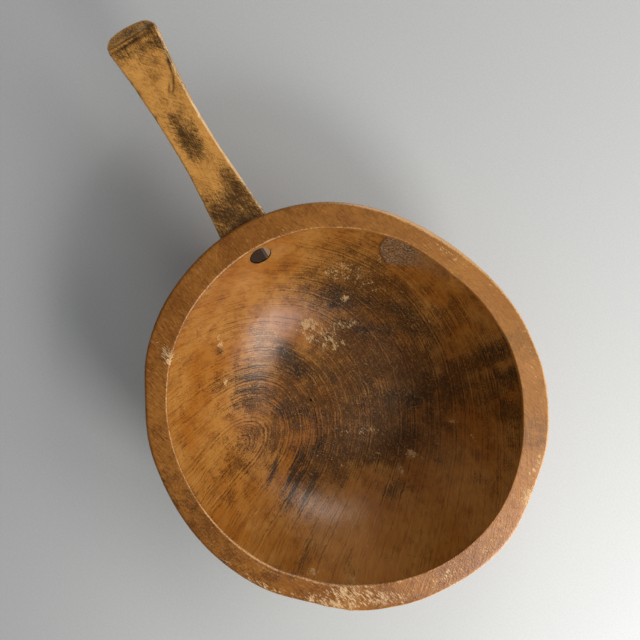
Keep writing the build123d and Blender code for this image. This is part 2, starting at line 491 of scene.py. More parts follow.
# golden streaks kept clear of the smoke and painted shade, on the wall away from the light
CLEAR = [
    (-34, -119, 18, 3.5, -81, 0.75), (-60, -88, 24, 5, -30, 0.6), (-58, -112, 16, 3, -78, 0.6),
    (-12, -108, 16, 4, -84, 0.5), (-20, -86, 18, 4, -60, 0.4), (-8, -30, 14, 5, -80, 0.45),
    (-46, -52, 14, 4, -75, 0.45), (24, -40, 16, 4, -130, 0.4),
]
# Dark stains.
STAINS = [
    # dark bands along the rings on the side towards the handle
    (84, -30, 26, 8, -122, 0.5), (101, 3, 9, 4, -120, 0.35), (82, -16, 16, 5, -122, 0.4),
    (70, -38, 14, 7, -130, 0.8), (60, -28, 16, 5, -130, 0.5), (42, -42, 12, 6, -140, 0.7),
    (30, -60, 14, 6, -145, 0.5), (62, -60, 12, 6, -140, 0.55), (82, -44, 12, 6, -130, 0.55),
    # the long curved one beside the middle
    (60, 28, 9, 5, -130, 0.6), (50, 24, 9, 7, -140, 0.7), (40, 28, 9, 6, -160, 0.7),
    (30, 17, 9, 6, -150, 0.6), (22, 4, 10, 7, -158, 0.35), (10, 0, 10, 8, -160, 0.35),
    # four short ones and an upright one
    (71, 60, 13, 1.2, -121, 0.6), (60, 55, 12, 2.0, -120, 0.7), (54, 63, 15, 2.2, -120, 0.85),
    (46, 71, 14, 2.6, -118, 0.8), (48, 62, 8, 4, -120, 0.45), (39, 84, 12, 2.8, -115, 0.6),
    (86, 71, 2.4, 5, -120, 0.6), (70, 84, 1.6, 14, -120, 0.45),
    # the middle
    (17, 54, 14, 9, -160, 0.6), (5, 40, 16, 9, -150, 0.5), (-30, 38, 10, 5, -110, 0.6),
    (-12, 24, 14, 10, -140, 0.45), (-3, -24, 8, 9, -75, 0.65), (-10, -6, 6, 8, -70, 0.55),
    (-34, -50, 14, 8, -88, 0.6), (-22, -36, 10, 6, -80, 0.5),
    # steep arcs across the side away from the handle
    (-24, 84, 16, 2.2, -50, 0.95), (-35, 71, 21, 2.6, -56, 1.0), (-47, 77, 20, 2.2, -58, 0.95),
    (-52, 62, 20, 2.4, -58, 0.95), (-60, 74, 12, 1.8, -58, 0.7), (-24, 58, 12, 7, -62, 0.5),
    (-33, 52, 15, 3.4, -62, 0.6), (-66, 36, 11, 2.2, -64, 0.7), (-60, 46, 11, 2.0, -64, 0.55),
    (-75, 66, 20, 1.5, -62, 0.5), (-84, 84, 22, 1.3, -60, 0.45), (-92, 8, 10, 4, -80, 0.5),
    (-95, 40, 24, 1.2, -60, 0.5), (-108, 30, 18, 1.2, -62, 0.45),
    # far side
    (17, -86, 20, 10, -155, 0.55), (43, -78, 16, 9, -145, 0.55), (-42, -90, 10, 5, -82, 0.5),
    (-22, -120, 12, 5, -85, 0.65), (-42, -119, 12, 5, -80, 0.7), (-60, -108, 12, 5, -76, 0.5),
    (-92, -2, 15, 8, -100, 0.5), (-88, -43, 9, 2, -120, 0.7), (-108, -62, 5, 8, -65, 0.5),
    (-112, 62, 6, 3, -65, 0.5), (6, -62, 14, 6, -80, 0.5), (-58, -30, 14, 7, -75, 0.5),
]
# Flecks of bared wood.
WORN = [
    (70, -4, 13, 6.5, -120, 1.0), (62, 3, 9, 6, -120, 0.8), (53, -33, 12, 5, -120, 1.0),
    (74, -44, 6, 4.5, -120, 1.0), (52, -12, 24, 12, -122, 0.72), (92, -58, 24, 12, -128, 0.66),
    (86, -82, 6, 3.5, -160, 0.9), (96, -46, 14, 7, -125, 0.66), (38, -14, 16, 8, -130, 0.6),
    (-74, -25, 9, 4.5, -125, 0.85), (-83, -10, 5, 7, -120, 0.85), (-65, -70, 6, 3.2, -120, 1.0),
    (-82, -76, 9, 1.6, 178, 1.0), (-41, -6, 10, 4.5, -125, 0.9), (-32, 12, 14, 9, -120, 0.62),
    (-52, 34, 6, 12, -70, 0.62), (-97, 85, 9, 3, -120, 0.7), (-116, 62, 7, 3, -125, 0.8),
    (94, 66, 3, 6, -115, 1.0), (60, 82, 3, 7, -105, 0.9), (-54, 77, 7, 6, -75, 0.6),
    (-62, 5, 18, 11, -110, 0.6), (66, -70, 22, 9, -140, 0.55), (-75, -40, 20, 14, -110, 0.5),
    (20, -95, 22, 12, -150, 0.45), (-108, 40, 12, 10, -110, 0.5), (-88, -62, 14, 10, -120, 0.45),
    (112, 20, 5, 12, -30, 0.5),
]
# Pale wood bared on the rim's top and edges.
RIM_WORN = [
    (103, 97, 9, 4.5, 4, 1.3), (97, 96, 5, 6, 45, 1.3), (-122, 69, 22, 10, 60, 1.05),
    (-112, 93, 18, 4, 50, 0.75), (-141, 44, 16, 6, 73, 0.9), (-124, -85, 12, 6, 125, 0.8),
    (-143, -40, 22, 5, 105, 0.72), (-146, 0, 20, 6, 90, 0.8), (-105, -104, 22, 5, 136, 0.62),
    (130, 12, 2.5, 7, 90, 0.6), (-88, 118, 22, 3, 37, 0.7), (-40, -136, 22, 4, 164, 0.55),
    (60, -124, 30, 4, 25, 0.5), (-60, 134, 20, 2.5, 24, 0.55), (-124, 83, 16, 3, 56, 0.8),
]
# Lighter wood on the hollow's wall beside the tenon, and painted light and sheen on the wall opposite
# the handle.
PALE_WOOD_AND_LIGHT = [
    (124, 21, 5, 12, 10, 0.9), (131, -15, 5, 7, -5, 0.8), (-104, 42, 30, 24, -30, 0.75),
    (-86, 66, 26, 18, -35, 0.8), (-98, -48, 26, 22, -60, 0.8),
]


def strokes(points, marks, spread=0.0):
    """How strongly soft marks cover each point seen from above."""
    total = np.zeros(len(points))
    for x, y, length, width, direction, strength in marks:
        length, width = length + spread, width + spread
        turn = math.radians(direction)
        along = (points[:, 0] - x) * math.cos(turn) + (points[:, 1] - y) * math.sin(turn)
        across = (points[:, 1] - y) * math.cos(turn) - (points[:, 0] - x) * math.sin(turn)
        mark = strength * np.exp(-(along / length) ** 2 - (across / width) ** 2)
        total = total + mark - total * mark
    return total


def worn_and_lit_edge_lines(points, angle, radius):
    """Thin lines along the rim's two edges: bared wood, and a painted highlight strongest where an edge
    faces the lamps.
    """
    edge_wobble = 1 + 0.35 * wobble(points, 11, 8)
    mouth = mouth_radius(angle)
    # along the hollow's edge, wider on one stretch
    line_width = 0.45 + bumps(angle, [(112, 14, 0.35), (150, 16, 0.8)])
    mouth_line = np.exp(-((radius - mouth - 0.4) / line_width) ** 2)
    # a second one beside it, where the edge was trimmed twice
    mouth_line += np.exp(-((radius - mouth - 3.0) / 0.6) ** 2) * bumps(angle, [(122, 13, 0.9)])
    mouth_line *= (points[:, 2] > HEIGHT - 4) * edge_wobble
    # stronger on the stretches where the hollow's edge faces the lamps, weaker where it faces away:
    # painted highlight
    mouth_line *= 0.6 + bumps(angle, [(112, 22, 0.4), (60, 25, 0.2), (10, 20, 0.2), (-110, 45, -0.4)])
    outer = wall_radius(angle, np.full(len(angle), HEIGHT - 1.0))
    outer_width = 1.3 + bumps(angle, [(-52, 24, 0.9)])
    outer_line = np.exp(-((radius - outer + 0.9 * outer_width) / outer_width) ** 2)
    outer_line *= (points[:, 2] > HEIGHT - 3.5) * edge_wobble
    # brighter where the outer edge faces the lamps, fainter where it faces away: painted highlight
    outer_line *= 0.35 + bumps(angle, [(180, 60, 0.45), (-110, 70, 0.5), (-52, 26, 0.7), (60, 50, -0.3)])
    return np.maximum(mouth_line, outer_line)


def paint_bowl(mesh):
    points = points_of(mesh)
    angle, radius, inside, rim, outside = part_of_bowl(points)
    rim_bare = strokes(points, RIM_WORN) * np.maximum(rim, inside * 0.6)
    paint(mesh, "bare", np.maximum(strokes(points, WORN) * inside, rim_bare))
    paint(mesh, "edge", worn_and_lit_edge_lines(points, angle, radius))
    paint(mesh, "stain", strokes(points, STAINS, 0.9) * inside)
    # smoke-darkened patina, partly painted shade on the shadowed wall under the rim and in the middle of
    # the floor
    smoke_and_shade = strokes(points, SMOKE_AND_SHADE) * (1 - strokes(points, CLEAR)) * inside
    # the rim darkened along one broad stretch and in two small patches
    rim_darkening = bumps(angle, [(102, 30, 0.38), (-101, 7, 0.55), (-128, 8, 0.45)]) * rim
    paint(mesh, "smoke_and_shade", smoke_and_shade + rim_darkening)
    # pale wood beside the tenon, painted light and sheen opposite the handle, and painted light on the
    # rim's side towards the lamps
    paint(mesh, "pale_and_lit", strokes(points, PALE_WOOD_AND_LIGHT) * inside + bumps(angle, [(-88, 58, 0.85)]) * rim)
    paint(mesh, "rim", rim)
    paint(mesh, "outside", outside)
    paint_knot(mesh, points, inside)


def paint_knot(mesh, points, inside):
    """The knot, and the crack round part of its edge."""
    away = np.linalg.norm(points - KNOT, axis=1) + 0.6 * wobble(points, 7, 9)
    knot = smooth_step(-away, -KNOT_SIZE, -KNOT_SIZE + 1.2) * inside
    # below, it ends along a line that climbs to the right
    beside = 0.58 * (82 - points[:, 0]) - 0.81 * (points[:, 1] + 85)
    knot *= smooth_step(points[:, 2] - 0.52 * beside, 63, 69) * (1 - 0.7 * smooth_step(beside, 12, 30))
    paint(mesh, "knot", knot)
    arc = np.exp(-((away - KNOT_SIZE) / 0.8) ** 2) * inside
    arc *= smooth_step(-beside, -8, 0) * smooth_step(points[:, 2], 60, 66)
    paint(mesh, "crack", arc)


bowl = new_object("carved_bowl", bowl_skin())
weather_bowl(bowl.data)
mortise = new_object("mortise", new_mesh("mortise", *mortise_cutter()))
cut_or_join(bowl, mortise, "DIFFERENCE")
worm_hole = new_object("worm_hole", new_mesh("worm_hole", *worm_cutter()))
cut_or_join(bowl, worm_hole, "DIFFERENCE")
paint_bowl(bowl.data)
smooth_shading(bowl.data, 45)

# --- handle -------------------------------------------------------------------
HANDLE_ROOT = 140.0
HANDLE_TIP = handle_high.x / MM
BEVEL_START = HANDLE_TIP - 14.5
BEVEL_FALL = math.tan(math.radians(26))
TIP_BOW = 0.0110            # the tip bows out by this much times the distance across, squared
TIP_CORNER = 10.0
SHOULDER_GAP = 0.3
SHOULDER_X = 155.0          # about where the shoulder meets the bowl
BEVEL_SHARE = (BEVEL_START - HANDLE_ROOT) / (HANDLE_TIP - HANDLE_ROOT)
PAST_TIP = 338.0            # the edges are drawn this far, and cut off at the tip
LEFT_EDGE = [
    (HANDLE_ROOT, 19.8), (177, 17.3), (213, 16.2), (249, 17.2), (285, 19.2), (329, 23.7),
    (PAST_TIP, 24.6),
]
RIGHT_EDGE = [
    (HANDLE_ROOT, -19.7), (177, -16.8), (213, -14.7), (249, -14.0), (285, -15.7), (330, -20.0),
    (PAST_TIP, -20.8),
]
# top and underside: x, and depth below the rim
TOP_LINE = [(HANDLE_ROOT, 2.2), (200, 2.8), (260, 1.2), (BEVEL_START, -0.8), (PAST_TIP, -1.2)]
UNDER_LINE = [(HANDLE_ROOT, 22.4), (200, 20.0), (260, 16.8), (PAST_TIP, 13.5)]
UNDER_ROUND = 3.0
# worn bevels along the top: (width, drop) at the long edges, and the width at the tip
LEFT_BEVEL = (1.2, 1.2)
RIGHT_BEVEL = (1.7, 1.5)
TIP_BEVEL = 1.4


def handle_point(s, v, t):
    """Point of the handle's skin; t runs down its side from the top's bevel to the underside."""
    chamfer = np.clip(t / 0.2, 0, 1)
    under = np.clip((t - 0.75) / 0.25, 0, 1)
    turn = under * math.pi / 2
    inset = 1 - chamfer
    inset_low = UNDER_ROUND * (1 - math.cos(turn))
    along = HANDLE_ROOT + (HANDLE_TIP - HANDLE_ROOT) * s
    left = curve(LEFT_EDGE, along) - LEFT_BEVEL[0] * inset - inset_low
    right = curve(RIGHT_EDGE, along) + RIGHT_BEVEL[0] * inset + inset_low
    y = right + (left - right) * (v + 1) / 2
    tip = HANDLE_TIP - TIP_BOW * (y - 1) ** 2 - TIP_BEVEL * inset - inset_low
    # rows of points follow the ridge where the tip's cut begins
    ridge = BEVEL_START + 0.02 * (y - 3)
    before = HANDLE_ROOT + (ridge - HANDLE_ROOT) * s / BEVEL_SHARE
    beyond = ridge + (tip - ridge) * (s - BEVEL_SHARE) / (1 - BEVEL_SHARE)
    x = np.where(s < BEVEL_SHARE, before, beyond)
    # round the tip's corners: squares about each corner's centre become circles
    radius = TIP_CORNER - inset_low - TIP_BEVEL * inset
    for side, edge in ((1, left), (-1, right)):
        a = np.clip(radius - (tip - x), 0, None)
        b = np.clip(radius - side * (edge - y), 0, None)
        both = (a > 0) & (b > 0)
        scale = np.where(both, np.maximum(a, b) / np.maximum(np.hypot(a, b), 1e-9), 1)
        x = np.where(both, x - a * (1 - scale), x)
        y = np.where(both, y - side * b * (1 - scale), y)
    fall = BEVEL_FALL * 0.5 * np.log1p(np.exp(np.clip((x - ridge) / 0.5, -30, 30)))
    top = HEIGHT - curve(TOP_LINE, np.minimum(x, PAST_TIP)) - fall
    bottom = HEIGHT - curve(UNDER_LINE, np.minimum(x, PAST_TIP))
    drop = RIGHT_BEVEL[1] * smooth_step(-v, -0.5, 0.9) + LEFT_BEVEL[1] * smooth_step(v, -0.9, 0.5)
    wall = np.clip((t - 0.2) / 0.55, 0, 1)
    upper_z = top - drop * chamfer
    lower_z = bottom + UNDER_ROUND
    z = upper_z + (lower_z - upper_z) * wall - UNDER_ROUND * math.sin(turn)
    # the root is scribed to the bowl's wall
    direction = np.arctan2(y, SHOULDER_X)
    shoulder = np.sqrt((wall_radius(direction, z) + SHOULDER_GAP) ** 2 - y ** 2)
    scribed = shoulder + (x - HANDLE_ROOT) * (ridge - shoulder) / (ridge - HANDLE_ROOT)
    x = np.where(x < ridge, scribed, x)
    return np.stack([x, y, z], 1)


def handle_skin():
    along = np.concatenate([np.linspace(0, BEVEL_SHARE, 200), np.linspace(BEVEL_SHARE, 1, 22)[1:]])
    levels = [0.05, 0.1, 0.15, 0.2, 0.27, 0.34, 0.41, 0.48, 0.55, 0.62, 0.69, 0.75, 0.81, 0.87, 0.93]
    return slab(along, np.linspace(-1, 1, 45), levels, handle_point)


def hollow_x(y, z):
    """Where the hollow's wall is along X."""
    x = np.full_like(y, 130.0)
    for _ in range(4):
        angle = np.arctan2(y, x)
        x = np.sqrt(hollow_radius(angle, z) ** 2 - y ** 2)
    return x


def tenon_skin():
    """Round tenon whose end follows the hollow, sunk slightly below it."""
    turn = np.arange(72) * 2 * math.pi / 72
    rings = []
    for radius in (0.7, 1.6, 2.5, 3.4, 4.3, 5.2, 6.1, 6.9, 7.6, 8.1):
        y, z = radius * np.cos(turn), TENON_HEIGHT + radius * np.sin(turn)
        rings.append(np.stack([hollow_x(y, z) + TENON_SUNK, y, z], 1))
    y, z = TENON_RADIUS * np.cos(turn), TENON_HEIGHT + TENON_RADIUS * np.sin(turn)
    edge = hollow_x(y, z) + TENON_EDGE_SUNK
    rings.append(np.stack([edge, y, z], 1))
    for share in np.linspace(0, 1, 24)[1:]:
        rings.append(np.stack([edge + (TENON_END - edge) * share, y, z], 1))
    middle = float(hollow_x(np.array([0.0]), np.array([TENON_HEIGHT]))[0]) + TENON_SUNK
    return bar(rings, [middle, 0, TENON_HEIGHT], [TENON_END, 0, TENON_HEIGHT])


WEDGE_OFFSET = 3.4
WEDGE_START, WEDGE_END = 118.0, 152.0
WEDGE_BUTT, WEDGE_POINT = 2.6, 0.5      # its thickness at either end
KERF_START = 120.0
KERF_GAP = 0.12


def wedge_block(gap, start_x=None):
    """The wedge, or with a gap round it the kerf that it's driven into."""
    def place(s, v, t):
        z = TENON_HEIGHT + v * (TENON_RADIUS - 0.6 + 3 * gap) * (1 if gap else 0.955)
        y0 = np.full_like(s, -WEDGE_OFFSET)
        begin = start_x or hollow_x(y0, z) + 0.25 + 0.15 * np.sin(9 * v)
        x = begin + (WEDGE_END + gap - begin) * s
        share = (x - WEDGE_START) / (WEDGE_END - WEDGE_START)
        thick = WEDGE_BUTT + (WEDGE_POINT - WEDGE_BUTT) * share
        y = -WEDGE_OFFSET + (thick / 2 + gap) * (2 * t - 1)
        return np.stack([x, y, z], 1)
    return slab(np.linspace(0, 1, 30), np.linspace(-1, 1, 20), [0.2, 0.4, 0.6, 0.8], place)


# Nicks and knocks in the handle: (x, y, z, size, depth)
NICKS = [
    (170, -20, 97, 2.0, 0.9), (205, -15, 98, 1.6, 0.6), (246, -13.5, 99, 2.2, 1.0),
    (262, 18, 99, 2.0, 0.8), (282, -14.5, 99, 2.2, 0.9), (300, -16, 100, 1.6, 0.6),
    (298, 22, 100, 1.8, 0.7), (322, 23, 98, 2.4, 0.8), (189, 18, 97, 1.8, 0.7),
    (228, 17, 98, 1.6, 0.6), (327, -12, 96, 2.0, 0.7), (331, 6, 94, 2.0, 0.7),
]


def weather_handle(mesh):
    points, normals = points_of(mesh), normals_of(mesh)
    free = smooth_step(points[:, 0], 158, 166)
    shift = 0.28 * wobble(points * [0.6, 1, 1], 14, 11) * free + 0.05 * wobble(points, 3, 12) * free
    side = 1 - np.abs(normals[:, 2])
    shift += 0.35 * wobble(points * [1, 0.5, 1], 16, 13) * side * free
    for x, y, z, size, depth in NICKS:
        away = np.linalg.norm((points - [x, y, z]) * [1, 1, 0.8], axis=1) / size
        shift -= depth * np.exp(-away ** 2)
    move_points(mesh, points + normals * shift[:, None])


# Grime and wear on the handle's top, and painted shade at the root beside the bowl and along the +Y
# edge: (x, y, half length, half width, direction, strength)
GRIME_AND_SHADE = [
    (164, -2, 17, 40, 0, 1.0), (176, -4, 14, 14, 0, 0.95), (174, 10, 14, 10, 0, 0.7),
    (190, -9, 14, 6, 6, 0.9), (180, 12, 10, 5, 0, 0.6), (204, -10, 9, 4, 8, 0.6),
    (237, 4, 14, 8, 4, 1.0), (227, 2, 10, 7, 0, 0.9), (252, 5, 12, 6, 0, 0.7),
    (244, -5, 12, 4, 0, 0.5), (296, -16, 18, 3.4, 5, 0.9), (311, -13, 7, 5, 0, 0.9),
    (276, -14, 12, 2, 0, 0.5), (318, 3, 2.0, 26, 0, 1.0), (314, 14, 5, 8, 0, 0.75),
    (311, 0, 6, 16, 0, 0.6), (328, 3, 6, 20, 0, 0.65), (322, -14, 5, 5, 0, 0.8),
    (214, 15.5, 26, 1.2, 0, 0.45), (300, 2, 16, 13, 0, 0.38), (268, 0, 14, 12, 0, 0.2),
]
HANDLE_CRACKS = [
    (289, -12.5, 8, 0.7, 165, 1.2), (279, -9.6, 6, 0.6, 150, 1.2), (273, -6.0, 3, 0.6, 140, 1.0),
    (293, -13.5, 2.5, 1.1, 150, 1.2), (276, -4.0, 3.5, 0.6, 145, 1.0),
    (262, 17.0, 2.0, 1.2, 20, 1.2), (292, 19.3, 1.6, 1.4, 0, 1.0), (283, 18.2, 3, 0.8, 0, 0.8),
    (189, 17.0, 1.6, 1.2, 0, 1.0), (322, 4, 0.8, 17, 2, 1.0), (318.5, 2, 0.5, 12, 4, 0.7),
]


def paint_handle(mesh):
    points, normals = points_of(mesh), normals_of(mesh)
    upper = smooth_step(normals[:, 2], 0.2, 0.9)
    # grime, with painted shade at the root beside the bowl and along the +Y edge
    paint(mesh, "grime_and_shade", strokes(points, GRIME_AND_SHADE) * (0.35 + 0.65 * upper))
    paint(mesh, "crack", strokes(points, HANDLE_CRACKS, 0.15) * upper)
    end = 1 - smooth_step(points[:, 0], 139, 141)
    paint(mesh, "end", end)
    slope = 1 - smooth_step(np.abs(normals[:, 2]), 0.80, 0.97)
    # pale lines along the top's bevels, doubled on the -Y side, towards the lamps, as a painted
    # highlight
    worn_and_lit_bevel = smooth_step(points[:, 2], 93, 96) * slope * (0.5 + 0.5 * smooth_step(-points[:, 1], 2, 9))
    paint(mesh, "edge", worn_and_lit_bevel * (1 - end) * (0.8 + 0.4 * wobble(points, 9, 14)))


handle = new_object("paddle_handle", new_mesh("handle", *handle_skin()))
weather_handle(handle.data)
tenon = new_object("tenon", new_mesh("tenon", *tenon_skin()))
cut_or_join(handle, tenon, "UNION")
kerf = new_object("kerf", new_mesh("kerf", *wedge_block(KERF_GAP, KERF_START)))
cut_or_join(handle, kerf, "DIFFERENCE")
paint_handle(handle.data)
smooth_shading(handle.data, 35)

wedge = new_object("driven_wedge", new_mesh("wedge", *wedge_block(0.0)))
smooth_shading(wedge.data, 35)

# --- materials ------------------------------------------------------------------


class Nodes:
    """Short ways to build one material's nodes. Lengths in its noises are in millimetres."""

    def __init__(self, name):
        self.material = bpy.data.materials.new(name)
        self.material.use_nodes = True
        self.tree = self.material.node_tree
        self.shader = self.tree.nodes["Principled BSDF"]
        position = self.tree.nodes.new("ShaderNodeTexCoord").outputs["Object"]
        self.position = self.vector("SCALE", position, scale=1 / MM)

    def put(self, socket, value):
        if isinstance(value, bpy.types.NodeSocket):
            self.tree.links.new(value, socket)
        else:
            socket.default_value = value

    def vector(self, operation, a, b=None, scale=None):
        node = self.tree.nodes.new("ShaderNodeVectorMath")
        node.operation = operation
        self.put(node.inputs[0], a)
        if b is not None:
            self.put(node.inputs[1], b)
        if scale is not None:
            self.put(node.inputs["Scale"], scale)
        return node.outputs["Value" if operation in ("DOT_PRODUCT", "LENGTH") else "Vector"]

    def math(self, operation, a, b=0.0):
        node = self.tree.nodes.new("ShaderNodeMath")
        node.operation = operation
        self.put(node.inputs[0], a)
        self.put(node.inputs[1], b)
        return node.outputs[0]

    def add(self, *values):
        total = values[0]
        for value in values[1:]:
            total = self.math("ADD", total, value)
        return total

    def times(self, a, b):
        return self.math("MULTIPLY", a, b)

    def step(self, value, low, high, out_low=0.0, out_high=1.0):
        node = self.tree.nodes.new("ShaderNodeMapRange")
        node.interpolation_type = "SMOOTHSTEP"
        self.put(node.inputs["Value"], value)
        self.put(node.inputs["From Min"], low)
        self.put(node.inputs["From Max"], high)
        self.put(node.inputs["To Min"], out_low)
        self.put(node.inputs["To Max"], out_high)
        return node.outputs[0]

    def noise(self, vector, size=1.0, detail=3.0, roughness=0.5, shift=0.0):
        node = self.tree.nodes.new("ShaderNodeTexNoise")
        self.put(node.inputs["Vector"], self.vector("ADD", vector, (shift, shift, shift)))
        self.put(node.inputs["Scale"], 1 / size)
        self.put(node.inputs["Detail"], detail)
        self.put(node.inputs["Roughness"], roughness)
        return node.outputs["Fac"]

    def lines(self, distance, size, detail=2.0):
        """Unevenly spaced lines that follow a distance."""
        node = self.tree.nodes.new("ShaderNodeTexNoise")
        node.noise_dimensions = "1D"
        self.put(node.inputs["W"], distance)
        self.put(node.inputs["Scale"], 1 / size)
        self.put(node.inputs["Detail"], detail)
        return node.outputs["Fac"]

    def centred(self, value, size):
        """A noise about zero instead of one half, made this many times larger."""
        return self.times(self.math("SUBTRACT", value, 0.5), size)

    def mix(self, factor, a, b):
        node = self.tree.nodes.new("ShaderNodeMix")
        node.data_type = "RGBA"
        self.put(node.inputs["Factor"], factor)
        for socket, value in ((node.inputs[6], a), (node.inputs[7], b)):
            self.put(socket, value if isinstance(value, bpy.types.NodeSocket) else (*value, 1))
        return node.outputs[2]

    def painted(self, name):
        node = self.tree.nodes.new("ShaderNodeAttribute")
        node.attribute_name = name
        return node.outputs["Fac"]

    def stretched(self, directions, sizes):
        """Position measured along three directions, in units of these sizes."""
        node = self.tree.nodes.new("ShaderNodeCombineXYZ")
        for i, (direction, size) in enumerate(zip(directions, sizes)):
            scaled = tuple(Vector(direction) / size)
            self.put(node.inputs[i], self.vector("DOT_PRODUCT", self.position, scaled))
        return node.outputs[0]

    def fibres(self, directions, sizes, detail=3, roughness=0.5, shift=0.0):
        """Noise stretched along three directions to these sizes."""
        return self.noise(self.stretched(directions, sizes), 1, detail, roughness, shift)

    def layer(self, factor, colour):
        """Lay a colour over the material's, as thickly as the factor says."""
        self.colour = self.mix(factor, self.colour, colour)

    def surface(self, roughness, relief, strength, depth, specular=0.5):
        """The material with its colour, this roughness, and relief this many millimetres deep."""
        bump = self.tree.nodes.new("ShaderNodeBump")
        bump.inputs["Strength"].default_value = strength
        bump.inputs["Distance"].default_value = depth * MM
        self.put(bump.inputs["Height"], relief)
        self.put(self.shader.inputs["Normal"], bump.outputs["Normal"])
        self.put(self.shader.inputs["Base Color"], self.colour)
        self.put(self.shader.inputs["Roughness"], roughness)
        self.shader.inputs["Specular IOR Level"].default_value = specular
        return self.material


def frame_along(direction):
    """Three directions at right angles, the first the one given."""
    first = Vector(direction).normalized()
    second = first.orthogonal().normalized()
    return first, second, first.cross(second)


PITH = (8.0, 103.0, 45.0)       # where the middle of the tree's rings meets the hollow's wall
PITH_SLOPE = math.radians(66)
PITH_DIRECTION = math.radians(110)
PITH_AXIS = (
    math.cos(PITH_SLOPE) * math.cos(PITH_DIRECTION),
    math.cos(PITH_SLOPE) * math.sin(PITH_DIRECTION),
    math.sin(PITH_SLOPE),
)
RING_SPACING = 1.5

HONEY = (0.47, 0.205, 0.041)
AMBER = (0.38, 0.128, 0.013)
RUSSET = (0.22, 0.060, 0.007)
BARE_WOOD = (0.78, 0.50, 0.24)
INK = (0.028, 0.018, 0.011)
SMOKE_AND_SHADE_BROWN = (0.072, 0.027, 0.006)
SCRATCHED = (0.42, 0.22, 0.08)
OCHRE = (0.62, 0.38, 0.155)
KNOT_GREY = (0.10, 0.050, 0.022)
KNOT_PALE = (0.38, 0.25, 0.155)
RIM_BROWN = (0.26, 0.088, 0.011)
RIM_TAN = (0.41, 0.148, 0.020)
RIM_PALE = (0.64, 0.30, 0.090)
RIM_DARK = (0.12, 0.042, 0.010)
EDGE_WORN_AND_LIT = (0.86, 0.48, 0.20)


